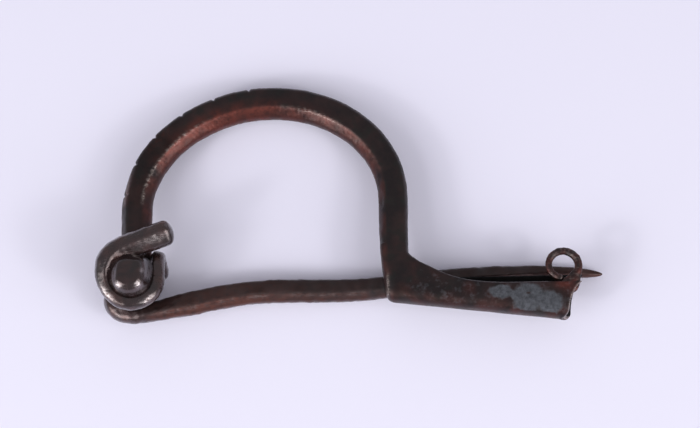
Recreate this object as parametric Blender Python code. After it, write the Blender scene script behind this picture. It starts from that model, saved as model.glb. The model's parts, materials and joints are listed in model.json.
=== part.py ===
"""Bronze bow brooch, a fibula, lying on its side.

Three pieces: the bow with its catch and curl, the wire that is both spring and pin,
and the rod that the spring turns on. They are modelled in the brooch's own axes and
then laid down. In those axes x runs along the foot, y up the bow and z out of the
side that shows, and the rod's centre is the origin.
"""

import math

import bmesh
import bpy
import numpy as np
from mathutils import Matrix, Vector

# Arch of the bow, half an ellipse on two limbs
BOW_HALF_SPAN = 0.01405
BOW_RISE = 0.01223
BOW_SPRINGING = 0.0090
BOW_LEAN = 0.014
BOW_SET_BACK = 0.00022

# Bar of the bow: half its thickness in the plane of the bow, and half its width across
HEAD_HALF_THICKNESS = 0.00169
CROWN_HALF_THICKNESS = 0.00176
ANKLE_HALF_THICKNESS = 0.00160
BAR_HALF_WIDTH = 0.00160
BAR_SQUARENESS = 2.7
LIMB_END_HALF_WIDTH = 0.00147
LIMB_TAPER = 0.0003
LIMB_LEAN = 0.0006
LIMB_ROUNDING_START = 0.86
LIMB_ROUNDING_REACH = 0.19
SEAM_INSET = 0.00004
NOTCH_COUNT = 6
NOTCH_FIRST = 0.03
NOTCH_LAST = 0.46
NOTCH_STEP = 0.01
NOTCH_WIDTH = 0.00040
NOTCH_DEPTH = 0.00024

# Eye at the head of the bow, and the rod through it
EYE_THICKNESS = 0.0010
EYE_WALL = 0.0006
ROD_HALF_WIDTH = 0.00163
ROD_SQUARENESS = 2.2
ROD_NEAR_STAND = 0.0015
ROD_FAR_STAND = 0.0003
ROD_END_ROUNDING = 0.0006
BORE_CLEARANCE = 0.00013
SIDE_CLEARANCE = 0.0003
CHORD_CLEARANCE = 0.00013

# Wire of the spring and of the pin: half its thickness in the plane, and half its width
WIRE_HALF_THICKNESS = 0.00082
WIRE_HALF_WIDTH = 0.00090
WIRE_SQUARENESS = 2.2
FREE_END_HALF_THICKNESS = 0.00144
FREE_END_OVERHANG = 0.00288
FREE_END_RISE = 0.00178
FREE_END_BLUNTNESS = 0.7
FREE_END_SWELL = 95.0
FREE_END_SHARES = (0.4, 0.6, 0.8)
SPRING_PITCH = 0.0023
FAR_SWELL = 0.00028
FAR_SWELL_ANGLE = 207.0
FAR_SWELL_REACH = 34.0
CHORD_BEND = 1.1
CHORD_SHARES = (0.35, 0.7)
PIN_ROOT_HALF_THICKNESS = 0.00090
PIN_HALF_THICKNESS = 0.00128
PIN_HALF_WIDTH = 0.00098
PIN_ROOT_ANGLE = 283.0
PIN_OVERHANG = 0.00244
PIN_ROOT_SHARE = 0.72
PIN_SWELL_REACH = 0.30
PIN_TAPER_START = 0.30
PIN_TAPER_REACH = 0.65
PIN_TAPER_CURVE = 1.9
PIN_TIP_ROUNDING = 0.045
PIN_STRAIGHT_SHARE = 0.09
# Course of the pin: share of its reach, height, and share of the way past the foot
PIN_COURSE = (
    (0.26, -0.00018, 0.5),
    (0.48, 0.00004, 1.0),
    (0.70, 0.00120, 1.0),
    (0.88, 0.00158, 1.0),
    (1.0, 0.00125, 1.0),
)
PIN_POINT_HALF_THICKNESS = 0.00040

# Foot: a strip folded lengthwise into a channel that is open toward the bow, with a low
# near wall that flares into the ankle and a level far wall, the catch
FOOT_LENGTH = 0.0184
FOOT_DROP = 0.0023
FOOT_SLOPE = 0.125
FOOT_HEIGHT = 0.0039
FOOT_WIDTH = 0.0028
FOOT_WALL = 0.0007
FOOT_FAR_STEP = 0.0007
FOOT_CATCH_RISE = 0.0014
FOOT_START = 0.0002
FOOT_SPACING = 1.25
ANKLE_FLARE = 0.0036
ANKLE_REACH = 0.0120
ANKLE_CURVE = 3.2
END_SLANT = 0.00156
END_HOLLOW = 2.6

# Curl at the foot's end
CURL_RADIUS = 0.00169
CURL_WIRE_RADIUS = 0.00045
CURL_THINNING = 0.25
CURL_START = -50.0
CURL_END = 268.0
CURL_CLOSING = 0.16
CURL_SET_BACK = 0.00044
CURL_LIFT = 0.00013
CURL_INSET = 0.00004
CURL_ROOT_DEPTH = 0.0009
CURL_ROOT_OFFSET = 0.0001
CURL_SIDES = 10

# Facets
ROUND = 2.0
BAR_SIDES = 16
WIRE_SIDES = 14
EYE_SIDES = 40
ROD_SIDES = 32
ARCH_STEPS = 36
PIN_STEPS = 7
DEGREES_PER_STEP = 12.0


def new_collection(name):
    """A collection in the scene for the brooch's pieces."""
    collection = bpy.data.collections.new(name)
    bpy.context.scene.collection.children.link(collection)
    return collection


def bronze(name, colour, roughness, metallic):
    """Corroded bronze of one tone."""
    material = bpy.data.materials.new(name)
    material.use_nodes = True
    shader = material.node_tree.nodes["Principled BSDF"]
    shader.inputs["Base Color"].default_value = (*colour, 1.0)
    shader.inputs["Roughness"].default_value = roughness
    shader.inputs["Metallic"].default_value = metallic
    material.diffuse_color = (*colour, 1.0)
    return material


def object_from_bmesh(mesh_data, name, collection):
    """Closes the bmesh into a named object with its faces pointing out."""
    bmesh.ops.recalc_face_normals(mesh_data, faces=mesh_data.faces)
    mesh = bpy.data.meshes.new(name)
    mesh_data.to_mesh(mesh)
    mesh_data.free()
    made = bpy.data.objects.new(name, mesh)
    collection.objects.link(made)
    return made


def sweep(name, stations, sides, squareness, collection):
    """Closed body along a path.

    Each station is (centre, tangent, side, half thickness, half width). Its section is the
    superellipse |a|^n + |b|^n = 1 with n the squareness, a along side and b across.
    """
    body = bmesh.new()
    turns = np.arange(sides) * 2 * math.pi / sides
    power = 2.0 / squareness
    along = np.sign(np.cos(turns)) * np.abs(np.cos(turns)) ** power
    across = np.sign(np.sin(turns)) * np.abs(np.sin(turns)) ** power
    rings = []
    for centre, tangent, side, half_thickness, half_width in stations:
        tangent = Vector(tangent).normalized()
        side = Vector(side)
        side = (side - side.dot(tangent) * tangent).normalized()
        other = tangent.cross(side)
        rings.append([
            body.verts.new(Vector(centre) + side * a * half_thickness + other * b * half_width)
            for a, b in zip(along, across)
        ])
    for ring, following in zip(rings, rings[1:]):
        for i in range(sides):
            j = (i + 1) % sides
            body.faces.new((ring[i], ring[j], following[j], following[i]))
    body.faces.new(rings[0][::-1])
    body.faces.new(rings[-1])
    return object_from_bmesh(body, name, collection)


def with_tangents(points):
    """Direction of a path at each of its points."""
    points = np.asarray(points, float)
    return np.gradient(points, axis=0)


def smooth_path(knots, steps):
    """Catmull-Rom curve through the knots, with the same number of steps in each span."""
    knots = np.asarray(knots, float)
    padded = np.vstack([2 * knots[0] - knots[1], knots, 2 * knots[-1] - knots[-2]])
    t = (np.arange(steps) / steps)[:, None]
    spans = []
    for i in range(len(knots) - 1):
        p0, p1, p2, p3 = padded[i : i + 4]
        spans.append(0.5 * (
            2 * p1 + (p2 - p0) * t + (2 * p0 - 5 * p1 + 4 * p2 - p3) * t**2
            + (3 * p1 - p0 - 3 * p2 + p3) * t**3
        ))
    return np.vstack(spans + [knots[-1:]])


def boolean(target, operation, tool):
    """Applies a Boolean of one closed mesh on another, then drops the tool."""
    modifier = target.modifiers.new(operation.title(), "BOOLEAN")
    modifier.operation = operation
    modifier.object = tool
    modifier.solver = "EXACT"
    bpy.context.view_layer.update()
    graph = bpy.context.evaluated_depsgraph_get()
    mesh = bpy.data.meshes.new_from_object(target.evaluated_get(graph))
    target.modifiers.clear()
    old = target.data
    target.data = mesh
    bpy.data.meshes.remove(old)
    bpy.data.objects.remove(tool)


def cylinder(name, radius, length, collection):
    """Closed cylinder along z, centred on the rod."""
    body = bmesh.new()
    bmesh.ops.create_cone(
        body, cap_ends=True, segments=EYE_SIDES, radius1=radius, radius2=radius, depth=length,
    )
    return object_from_bmesh(body, name, collection)


def arch_point(turn):
    """Point of the bow's centre line: turn is 0 at the head's side and 1 at the foot's."""
    angle = math.pi * (1 - turn)
    stretch = 1 + BOW_LEAN * math.sin(2 * angle)
    middle = BOW_HALF_SPAN - BOW_SET_BACK
    return Vector((
        middle + BOW_HALF_SPAN * stretch * math.cos(angle),
        BOW_SPRINGING + BOW_RISE * stretch * math.sin(angle),
        0.0,
    ))


def bar_half_thickness(turn):
    """Half the bar's thickness in the plane along the arch, thickest at the crown."""
    ends = HEAD_HALF_THICKNESS + (ANKLE_HALF_THICKNESS - HEAD_HALF_THICKNESS) * turn
    return ends + (CROWN_HALF_THICKNESS - ends) * math.sin(math.pi * turn)


def ankle_x():
    """Centre of the limb that comes down to the foot."""
    return arch_point(1.0).x


def foot_bottom(x):
    """Height of the outside of the fold."""
    return -FOOT_DROP - FOOT_SLOPE * (x - ankle_x())


def foot_level():
    """Height of the near wall's edge at the foot's end."""
    return foot_bottom(ankle_x() + FOOT_LENGTH) + FOOT_HEIGHT


def foot_top(x):
    """Height of the near wall's edge, which flares up into the ankle."""
    start = ankle_x() + ANKLE_HALF_THICKNESS
    left = max(0.0, 1 - max(0.0, x - start) / ANKLE_REACH)
    return foot_level() + ANKLE_FLARE * left**ANKLE_CURVE


def catch_top(x):
    """Height of the far wall's edge, level and just below the near wall's in the ankle."""
    return max(foot_top(x) - FOOT_FAR_STEP, foot_level() + FOOT_CATCH_RISE)


def bore_radius():
    """Radius of the eye's bore and of the inside of the coils, clear of the rod's corners."""
    corner = ROD_HALF_WIDTH * 2 ** (0.5 - 1 / ROD_SQUARENESS)
    return corner + BORE_CLEARANCE


def make_bow_bar(collection):
    """Limb, arch and limb in one bar, thinned at the head to pass between the coils."""
    middle = BOW_HALF_SPAN - BOW_SET_BACK
    eye_radius = bore_radius() + EYE_WALL
    seat = bore_radius() + EYE_WALL / 3
    head_x = arch_point(0.0).x
    points = []
    sizes = []
    thin = EYE_THICKNESS / 2 - SEAM_INSET
    for share in np.linspace(0, 1, 6, endpoint=False):
        y = seat + (BOW_SPRINGING - seat) * share
        clear = min(1.0, max(0.0, (y - eye_radius) / eye_radius))
        points.append((head_x * share, y, 0.0))
        sizes.append((HEAD_HALF_THICKNESS, thin + (BAR_HALF_WIDTH - thin) * clear))
    for turn in np.linspace(0, 1, ARCH_STEPS + 1):
        points.append(tuple(arch_point(turn)))
        sizes.append((bar_half_thickness(turn), BAR_HALF_WIDTH))
    bottom = foot_bottom(ankle_x())
    for share in np.linspace(0, 1, 10)[1:]:
        y = BOW_SPRINGING + (bottom + 0.5 * FOOT_WALL - BOW_SPRINGING) * share
        rounded = max(0.0, (share - LIMB_ROUNDING_START) / LIMB_ROUNDING_REACH)
        taper = math.sqrt(max(0.0, 1 - rounded**2))
        half = (ANKLE_HALF_THICKNESS - LIMB_TAPER * share**2) * taper
        width = BAR_HALF_WIDTH + (LIMB_END_HALF_WIDTH - BAR_HALF_WIDTH) * share
        points.append((ankle_x() + LIMB_LEAN * share**3, y, 0.0))
        sizes.append((half, width * taper))
    tangents = with_tangents(points)
    stations = []
    for point, tangent, (thickness, width) in zip(points, tangents, sizes):
        outward = Vector(point) - Vector((middle, BOW_SPRINGING, 0.0))
        if point[1] < BOW_SPRINGING:
            outward = Vector((math.copysign(1.0, point[0] - middle), 0.0, 0.0))
        stations.append((point, tangent, outward, thickness, width))
    return sweep("bow", stations, BAR_SIDES, BAR_SQUARENESS, collection)


def make_notch_cutters(collection):
    """Cutters for the row of nicks across the outside of the bow."""
    cutters = []
    for i in range(NOTCH_COUNT):
        share = i / (NOTCH_COUNT - 1)
        turn = NOTCH_FIRST + (NOTCH_LAST - NOTCH_FIRST) * share
        here = arch_point(turn)
        direction = (arch_point(turn + NOTCH_STEP) - arch_point(turn - NOTCH_STEP)).normalized()
        outward = Vector((-direction.y, direction.x, 0.0))
        surface = here + outward * bar_half_thickness(turn)
        turned = Matrix((direction, outward, Vector((0.0, 0.0, 1.0)))).transposed().to_4x4()
        body = bmesh.new()
        bmesh.ops.create_cone(
            body, cap_ends=True, segments=4, radius1=NOTCH_WIDTH, radius2=NOTCH_WIDTH,
            depth=4 * BAR_HALF_WIDTH,
        )
        bmesh.ops.translate(body, verts=body.verts, vec=(0.0, NOTCH_WIDTH - NOTCH_DEPTH, 0.0))
        bmesh.ops.transform(body, verts=body.verts, matrix=Matrix.Translation(surface) @ turned)
        cutters.append(object_from_bmesh(body, f"nick_{i}", collection))
    return cutters


def make_channel(collection):
    """Folded foot: near wall, round fold and far wall, cut off on a hollow slant."""
    outer_radius = FOOT_WIDTH / 2
    inner_radius = outer_radius - FOOT_WALL
    wall_levels = np.linspace(1, 0, 5)
    fold_turns = np.linspace(0, math.pi, 9)[1:-1]
    start = ankle_x() - FOOT_START
    corner = ankle_x() + FOOT_LENGTH

    def path(x, radius):
        """(height, side) pairs down the near wall, round the fold and up the far wall."""
        seat = foot_bottom(x) + outer_radius
        near = [(seat + (foot_top(x) - seat) * s, radius) for s in wall_levels]
        fold = [(seat - radius * math.sin(t), radius * math.cos(t)) for t in fold_turns]
        far = [(seat + (catch_top(x) - seat) * s, -radius) for s in wall_levels[::-1]]
        return near + fold + far

    body = bmesh.new()
    rings = []
    for share in np.linspace(0, 1, 25):
        share = share**FOOT_SPACING
        x = start + (corner - start) * share
        ring = []
        for radius in (outer_radius, inner_radius):
            row = []
            for height, side in path(x, radius):
                wall = FOOT_HEIGHT + (FOOT_CATCH_RISE if side < 0 else 0.0)
                above = min(1.0, max(0.0, (height - foot_bottom(x)) / wall))
                reach = share * END_SLANT * above**END_HOLLOW
                row.append(body.verts.new((x + reach, height, side)))
            ring.append(row)
        rings.append(ring)
    count = len(rings[0][0])
    for (outer, inner), (next_outer, next_inner) in zip(rings, rings[1:]):
        for i in range(count - 1):
            body.faces.new((outer[i], outer[i + 1], next_outer[i + 1], next_outer[i]))
            body.faces.new((inner[i], next_inner[i], next_inner[i + 1], inner[i + 1]))
        for i in (0, count - 1):
            body.faces.new((outer[i], next_outer[i], next_inner[i], inner[i]))
    for outer, inner in (rings[0], rings[-1]):
        for i in range(count - 1):
            body.faces.new((outer[i], inner[i], inner[i + 1], outer[i + 1]))
    return object_from_bmesh(body, "channel", collection)


def make_curl(collection):
    """Small ring that the end of the near wall is rolled into."""
    corner_x = ankle_x() + FOOT_LENGTH
    centre = Vector((
        corner_x - CURL_SET_BACK,
        foot_top(corner_x) + CURL_RADIUS + CURL_LIFT,
        FOOT_WIDTH / 2 - CURL_WIRE_RADIUS - CURL_INSET,
    ))
    points = []
    for share in np.linspace(0, 1, 28):
        angle = math.radians(CURL_START + (CURL_END - CURL_START) * share)
        radius = CURL_RADIUS * (1 - CURL_CLOSING * share)
        points.append(centre + Vector((math.cos(angle), math.sin(angle), 0.0)) * radius)
    root_y = foot_top(corner_x) - CURL_ROOT_DEPTH
    root = Vector((points[0].x - CURL_ROOT_OFFSET, root_y, centre.z))
    points.insert(0, root)
    tangents = with_tangents(points)
    stations = []
    for i, (point, tangent) in enumerate(zip(points, tangents)):
        radius = CURL_WIRE_RADIUS * (1 - CURL_THINNING * i / len(points))
        stations.append((point, tangent, point - centre, radius, radius))
    return sweep("curl", stations, CURL_SIDES, ROUND, collection)


def make_bow(collection):
    """Bow, eye, foot and curl as the one piece they were forged from."""
    bow = make_bow_bar(collection)
    eye_radius = bore_radius() + EYE_WALL
    boolean(bow, "UNION", cylinder("eye", eye_radius, EYE_THICKNESS, collection))
    boolean(bow, "UNION", make_channel(collection))
    boolean(bow, "UNION", make_curl(collection))
    for cutter in make_notch_cutters(collection):
        boolean(bow, "DIFFERENCE", cutter)
    boolean(bow, "DIFFERENCE", cylinder("bore", bore_radius(), 2 * EYE_THICKNESS, collection))
    return bow


def coil_radius(half_thickness):
    """Centre line of a coil of wire that runs clear of the rod."""
    return bore_radius() + half_thickness


def chord_place():
    """Where the chord crosses from side to side: inside the bow's limb and clear of the eye."""
    x = arch_point(0.0).x + HEAD_HALF_THICKNESS + CHORD_CLEARANCE + WIRE_HALF_THICKNESS
    reach = bore_radius() + EYE_WALL + CHORD_CLEARANCE + WIRE_HALF_THICKNESS
    return Vector((x, math.sqrt(reach**2 - x**2)))


def tangent_angles(place, radius):
    """Angles, in degrees, at which straight runs from a place touch a circle round the rod."""
    towards = math.degrees(math.atan2(place.y, place.x))
    opening = math.degrees(math.acos(radius / place.length))
    return towards - opening, towards + opening


def coil_side(turned):
    """Distance of the wire's centre from the middle plane after some degrees of a coil."""
    nearest = EYE_THICKNESS / 2 + SIDE_CLEARANCE + WIRE_HALF_WIDTH
    return nearest + SPRING_PITCH * turned / 360


def free_end():
    """Tip of the wire, which lies across the head of the bow."""
    coil_outside = bore_radius() + 2 * WIRE_HALF_THICKNESS
    x = arch_point(0.0).x + HEAD_HALF_THICKNESS + FREE_END_OVERHANG
    return Vector((x, coil_outside + FREE_END_RISE))


def near_turn():
    """Degrees of the near coil, from the free end's run to the chord's."""
    free_angle = tangent_angles(free_end(), coil_radius(FREE_END_HALF_THICKNESS))[1]
    chord_angle = tangent_angles(chord_place(), coil_radius(WIRE_HALF_THICKNESS))[0]
    return 360 + chord_angle - free_angle


def far_turn():
    """Degrees of the far coil, from the chord's run to the root of the pin."""
    return PIN_ROOT_ANGLE - tangent_angles(chord_place(), coil_radius(WIRE_HALF_THICKNESS))[1]


class WirePath:
    """Stations of the wire, gathered from its free end to the pin's point."""

    def __init__(self):
        self.points = []
        self.sides = []
        self.sizes = []

    def add(self, point, side, half_thickness, half_width):
        self.points.append(tuple(point))
        self.sides.append(tuple(side))
        self.sizes.append((half_thickness, half_width))

    def add_coil(self, start, turn, sides_of_coil, half_thickness):
        """Runs round the rod, from one distance across to another, with a thickness for each share."""
        steps = round(abs(turn) / DEGREES_PER_STEP)
        for i in range(steps + 1):
            share = i / steps
            angle = math.radians(start + turn * share)
            half = half_thickness(share)
            out = Vector((math.cos(angle), math.sin(angle), 0.0))
            centre = out * coil_radius(half)
            across = sides_of_coil[0] + (sides_of_coil[1] - sides_of_coil[0]) * share
            self.add((centre.x, centre.y, across), out, half, max(half, WIRE_HALF_WIDTH))

    def stations(self):
        tangents = with_tangents(self.points)
        return [
            (point, tangent, side, thickness, width)
            for point, tangent, side, (thickness, width)
            in zip(self.points, tangents, self.sides, self.sizes)
        ]


def add_free_end(wire, across):
    """Rounded tip and the straight run to the near coil."""
    tip = free_end()
    radius = coil_radius(FREE_END_HALF_THICKNESS)
    angle = math.radians(tangent_angles(tip, radius)[1])
    landing = Vector((math.cos(angle), math.sin(angle))) * radius
    heading = (landing - tip).normalized()
    side = Vector((heading.y, -heading.x, 0.0))
    run = (landing - tip).length
    size = FREE_END_HALF_THICKNESS
    for turn in np.radians((12, 35, 60, 90)):
        spot = tip + heading * FREE_END_BLUNTNESS * size * (1 - math.cos(turn))
        here = size * math.sin(turn)
        wire.add((spot.x, spot.y, across), side, here, here)
    for share in FREE_END_SHARES:
        spot = tip + heading * run * share
        wire.add((spot.x, spot.y, across), side, size, size)


def add_chord(wire, near, far):
    """Run up from the near coil, across inside the bow, and back down to the far coil."""
    place = chord_place()
    radius = coil_radius(WIRE_HALF_THICKNESS)
    bend = CHORD_BEND * WIRE_HALF_THICKNESS
    size = WIRE_HALF_THICKNESS
    low, high = (math.radians(angle) for angle in tangent_angles(place, radius))
    for angle, across, sign in ((low, near, 1), (high, far, -1)):
        start = Vector((math.cos(angle), math.sin(angle))) * radius
        heading = (place - start).normalized()
        side = Vector((start.x, start.y, 0.0)).normalized()
        length = (place - start).length
        piece = []
        for share in CHORD_SHARES:
            spot = start + heading * (length - bend) * share
            piece.append((spot.x, spot.y, across))
        for turn in np.radians(np.linspace(0, 90, 6)):
            spot = place - heading * bend * (1 - math.sin(turn))
            piece.append((spot.x, spot.y, across - sign * bend * (1 - math.cos(turn))))
        for point in piece if sign > 0 else piece[::-1]:
            wire.add(point, side, size, size)


def pin_half_thickness(share):
    """Half the pin's thickness at a share of its length: full early, then tapering away."""
    swell = min(1.0, PIN_ROOT_SHARE + share / PIN_SWELL_REACH)
    lost = max(0.0, (share - PIN_TAPER_START) / PIN_TAPER_REACH) ** PIN_TAPER_CURVE
    point = PIN_POINT_HALF_THICKNESS / PIN_HALF_THICKNESS
    return PIN_HALF_THICKNESS * swell * max(0.0, 1 - (1 - point) * lost)


def add_pin(wire):
    """Pin from the bottom of the far coil, past the outside of the catch, to its point."""
    root = Vector(wire.points[-1])
    turn = math.radians(PIN_ROOT_ANGLE)
    heading = Vector((-math.sin(turn), math.cos(turn), 0.0))
    past_foot = FOOT_WIDTH / 2 + SIDE_CLEARANCE + PIN_HALF_WIDTH
    tip_x = ankle_x() + FOOT_LENGTH + END_SLANT + PIN_OVERHANG
    reach = tip_x - root.x
    knots = [root, root + heading * (PIN_STRAIGHT_SHARE * reach)]
    for share, height, crossed in PIN_COURSE:
        knots.append(Vector((tip_x * share, height, root.z - (past_foot + root.z) * crossed)))
    for point in smooth_path(knots, PIN_STEPS)[1:]:
        share = (point[0] - root.x) / reach
        late = max(0.0, (share - 1 + PIN_TIP_ROUNDING) / (1.02 * PIN_TIP_ROUNDING))
        rounding = math.sqrt(max(0.0, 1 - late**2))
        half = pin_half_thickness(share) * rounding
        width = min(PIN_HALF_WIDTH, half)
        wire.add(tuple(point), (0.0, -1.0, 0.0), half, width)


def make_spring_and_pin(collection):
    """The one wire that is free end, near coil, chord, far coil and pin."""
    wire = WirePath()
    free_side = coil_side(near_turn())
    add_free_end(wire, free_side)
    start = tangent_angles(free_end(), coil_radius(FREE_END_HALF_THICKNESS))[1]
    swell = FREE_END_HALF_THICKNESS - WIRE_HALF_THICKNESS

    def near_thickness(share):
        return WIRE_HALF_THICKNESS + swell * max(0.0, 1 - share * near_turn() / FREE_END_SWELL)

    def far_thickness(share):
        angle = PIN_ROOT_ANGLE - far_turn() * (1 - share)
        swollen = FAR_SWELL * math.exp(-((angle - FAR_SWELL_ANGLE) / FAR_SWELL_REACH) ** 2)
        grown = (PIN_ROOT_HALF_THICKNESS - WIRE_HALF_THICKNESS) * share
        return WIRE_HALF_THICKNESS + grown + swollen

    wire.add_coil(start, near_turn(), (free_side, coil_side(0)), near_thickness)
    add_chord(wire, coil_side(0), -coil_side(far_turn()))
    far_start = tangent_angles(chord_place(), coil_radius(WIRE_HALF_THICKNESS))[1]
    wire.add_coil(far_start, far_turn(), (-coil_side(far_turn()), -coil_side(0)), far_thickness)
    add_pin(wire)
    return sweep("spring_and_pin", wire.stations(), WIRE_SIDES, WIRE_SQUARENESS, collection)


def make_rod(collection):
    """Rounded square rod through coils and eye, standing out a little at both sides."""
    near_end = coil_side(near_turn()) + ROD_NEAR_STAND
    far_end = -coil_side(far_turn()) - ROD_FAR_STAND
    stations = []
    for end, inward in ((far_end, 1), (near_end, -1)):
        rounding = []
        for turn in np.radians((0, 30, 60, 90)):
            half = ROD_HALF_WIDTH - ROD_END_ROUNDING * (1 - math.sin(turn))
            z = end + inward * ROD_END_ROUNDING * (1 - math.cos(turn))
            rounding.append(((0.0, 0.0, z), (0.0, 0.0, 1.0), (1.0, 0.0, 0.0), half, half))
        stations += rounding if inward > 0 else rounding[::-1]
    return sweep("axis_rod", stations, ROD_SIDES, ROD_SQUARENESS, collection)


def volume_and_centre(points, triangles):
    """Volume of a closed mesh and its centre of mass."""
    a, b, c = (points[triangles[:, i]] for i in range(3))
    volumes = np.einsum("ij,ij->i", a, np.cross(b, c)) / 6
    centre = ((a + b + c) / 4 * volumes[:, None]).sum(axis=0)
    return volumes.sum(), centre


def lying_rotation(objects):
    """Turn that lays the brooch on the face of its hull that it rests on, far side down."""
    clouds = []
    volume = 0.0
    moment = np.zeros(3)
    for made in objects:
        made.data.calc_loop_triangles()
        points = np.array([vertex.co for vertex in made.data.vertices])
        triangles = np.array([triangle.vertices for triangle in made.data.loop_triangles])
        part_volume, part_moment = volume_and_centre(points, triangles)
        volume += part_volume
        moment += part_moment
        clouds.append(points)
    centre = moment / volume
    hull = bmesh.new()
    for point in np.vstack(clouds):
        hull.verts.new(point)
    made_hull = bmesh.ops.convex_hull(hull, input=hull.verts)
    faces = [face for face in made_hull["geom"] if isinstance(face, bmesh.types.BMFace)]
    best = None
    for face in faces:
        corners = [np.array(vertex.co) for vertex in face.verts]
        normal = np.cross(corners[1] - corners[0], corners[2] - corners[0])
        length = np.linalg.norm(normal)
        if length == 0:
            continue
        normal = normal / length
        if normal @ (corners[0] - centre) < 0:
            normal = -normal
        foot = centre + normal * (normal @ (corners[0] - centre))
        turns = [
            normal @ np.cross(corners[(i + 1) % 3] - corners[i], foot - corners[i])
            for i in range(3)
        ]
        inside = min(turns) >= 0 or max(turns) <= 0
        if inside and (best is None or normal[2] < best[2]):
            best = normal
    hull.free()
    up = -Vector(best)
    along = Vector((1.0, 0.0, 0.0))
    along = (along - along.dot(up) * up).normalized()
    return Matrix((along, up.cross(along), up)).to_4x4()


def lay_down(objects, collection):
    """Parents the pieces to an empty that lays them on the ground, centred over the origin."""
    turn = lying_rotation(objects)
    corners = np.vstack([
        [turn @ vertex.co for vertex in made.data.vertices] for made in objects
    ])
    low = corners.min(axis=0)
    high = corners.max(axis=0)
    middle = (low + high) / 2
    ground = bpy.data.objects.new("brooch_axes", None)
    ground.empty_display_size = BOW_RISE
    ground.matrix_world = Matrix.Translation((-middle[0], -middle[1], -low[2])) @ turn
    collection.objects.link(ground)
    for made in objects:
        made.parent = ground


def main():
    for old in list(bpy.data.objects):
        bpy.data.objects.remove(old, do_unlink=True)
    collection = new_collection("fibula_brooch")
    bow = make_bow(collection)
    spring = make_spring_and_pin(collection)
    rod = make_rod(collection)
    finishes = {
        bow: bronze("brown_black bronze", (0.045, 0.030, 0.026), 0.42, 0.7),
        spring: bronze("dark bronze wire", (0.052, 0.034, 0.030), 0.36, 0.75),
        rod: bronze("polished dark bronze", (0.040, 0.030, 0.030), 0.28, 0.8),
    }
    for made, finish in finishes.items():
        made.data.materials.clear()
        made.data.materials.append(finish)
        made.data.shade_smooth()
        made.data.set_sharp_from_angle(angle=math.radians(40))
    lay_down([bow, spring, rod], collection)


main()
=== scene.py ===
"""Bronze bow brooch lying on a pale table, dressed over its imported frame."""

import json

import bpy
import numpy as np
from mathutils import Matrix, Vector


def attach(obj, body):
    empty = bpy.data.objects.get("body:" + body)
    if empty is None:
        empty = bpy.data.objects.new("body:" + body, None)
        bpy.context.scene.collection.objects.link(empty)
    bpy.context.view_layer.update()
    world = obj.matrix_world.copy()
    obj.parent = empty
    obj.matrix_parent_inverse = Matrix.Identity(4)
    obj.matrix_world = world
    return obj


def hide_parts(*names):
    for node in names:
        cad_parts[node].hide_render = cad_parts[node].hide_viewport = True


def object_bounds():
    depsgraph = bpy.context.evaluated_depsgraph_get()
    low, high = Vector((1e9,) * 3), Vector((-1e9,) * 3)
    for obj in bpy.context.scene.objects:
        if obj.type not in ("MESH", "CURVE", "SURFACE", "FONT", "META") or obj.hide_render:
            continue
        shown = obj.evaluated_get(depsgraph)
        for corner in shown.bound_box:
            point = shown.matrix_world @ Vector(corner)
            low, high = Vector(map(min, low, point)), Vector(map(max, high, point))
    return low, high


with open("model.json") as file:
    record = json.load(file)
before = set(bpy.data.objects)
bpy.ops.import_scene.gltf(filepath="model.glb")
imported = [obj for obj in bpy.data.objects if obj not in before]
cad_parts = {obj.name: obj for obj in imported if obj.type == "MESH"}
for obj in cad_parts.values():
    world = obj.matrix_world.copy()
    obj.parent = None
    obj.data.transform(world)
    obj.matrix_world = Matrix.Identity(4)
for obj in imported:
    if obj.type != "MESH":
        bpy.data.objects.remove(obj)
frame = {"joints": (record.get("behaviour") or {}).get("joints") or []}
cad_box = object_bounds()

# The brooch's own axes run along its foot, up its bow and out of the side that shows, in
# millimetres from the middle of the rod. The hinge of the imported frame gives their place.
# Sizes are in millimetres and angles in degrees, but for the table and the lights.
HINGE = frame["joints"][0]
ROD_PLACE = np.array(HINGE["pos_m"])
SHOWING = -np.array(HINGE["axis"]) / np.linalg.norm(HINGE["axis"])
ALONG = np.cross((0.0, 1.0, 0.0), SHOWING)
ALONG /= np.linalg.norm(ALONG)
AXES = np.stack([ALONG, np.cross(SHOWING, ALONG), SHOWING])
METRE = 1000.0

# Bow: half an ellipse on two limbs
BOW_HALF_SPAN = 14.05
BOW_RISE = 12.23
BOW_SPRINGING = 9.0
BOW_LEAN = 0.014
BOW_MIDDLE = 13.83
HEAD_HALF = 1.69
CROWN_HALF = 1.76
ANKLE_HALF = 1.60
BAR_HALF_WIDTH = 1.60
LIMB_END_HALF_WIDTH = 1.47
HEAD_END_HALF_WIDTH = 0.46
# Nicks, placed by their share of the arch
NOTCHES = np.linspace(0.03, 0.46, 6)
NOTCH_HALF_WIDTH = 0.22
NOTCH_DEPTH = 0.24

# Far limb: the height where it opens into the foot, how far it kicks out and thins there, and
# the inside line round the heel below it, from a height over two points to the foot's bottom.
# The points' x and the place of the heel's end are measured from the ankle.
LIMB_END = 4.0
LIMB_KICK = 0.6
LIMB_THINNING = 0.3
HEEL_TOP = -1.0
HEEL = ((-0.88, -1.65), (-0.72, -2.05))
HEEL_END = -0.3

# Eye and rod
BORE_RADIUS = 1.812
EYE_RADIUS = 2.412
EYE_HALF = 0.5
ROD_HALF = 1.63
# How far the rod's ends stand past the middle of the wire beside them
ROD_STAND = 1.5
ROD_FAR_STAND = 0.3
ROD_END_ROUNDING = 0.35
BURR_REACH = 4.2

# Wire
WIRE_HALF = 0.82
WIRE_HALF_WIDTH = 0.90
FREE_HALF = 1.44
PITCH = 2.3
CLEARANCE = 0.3
CHORD_CLEARANCE = 0.13
CHORD_BEND = 1.25 * WIRE_HALF
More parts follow.
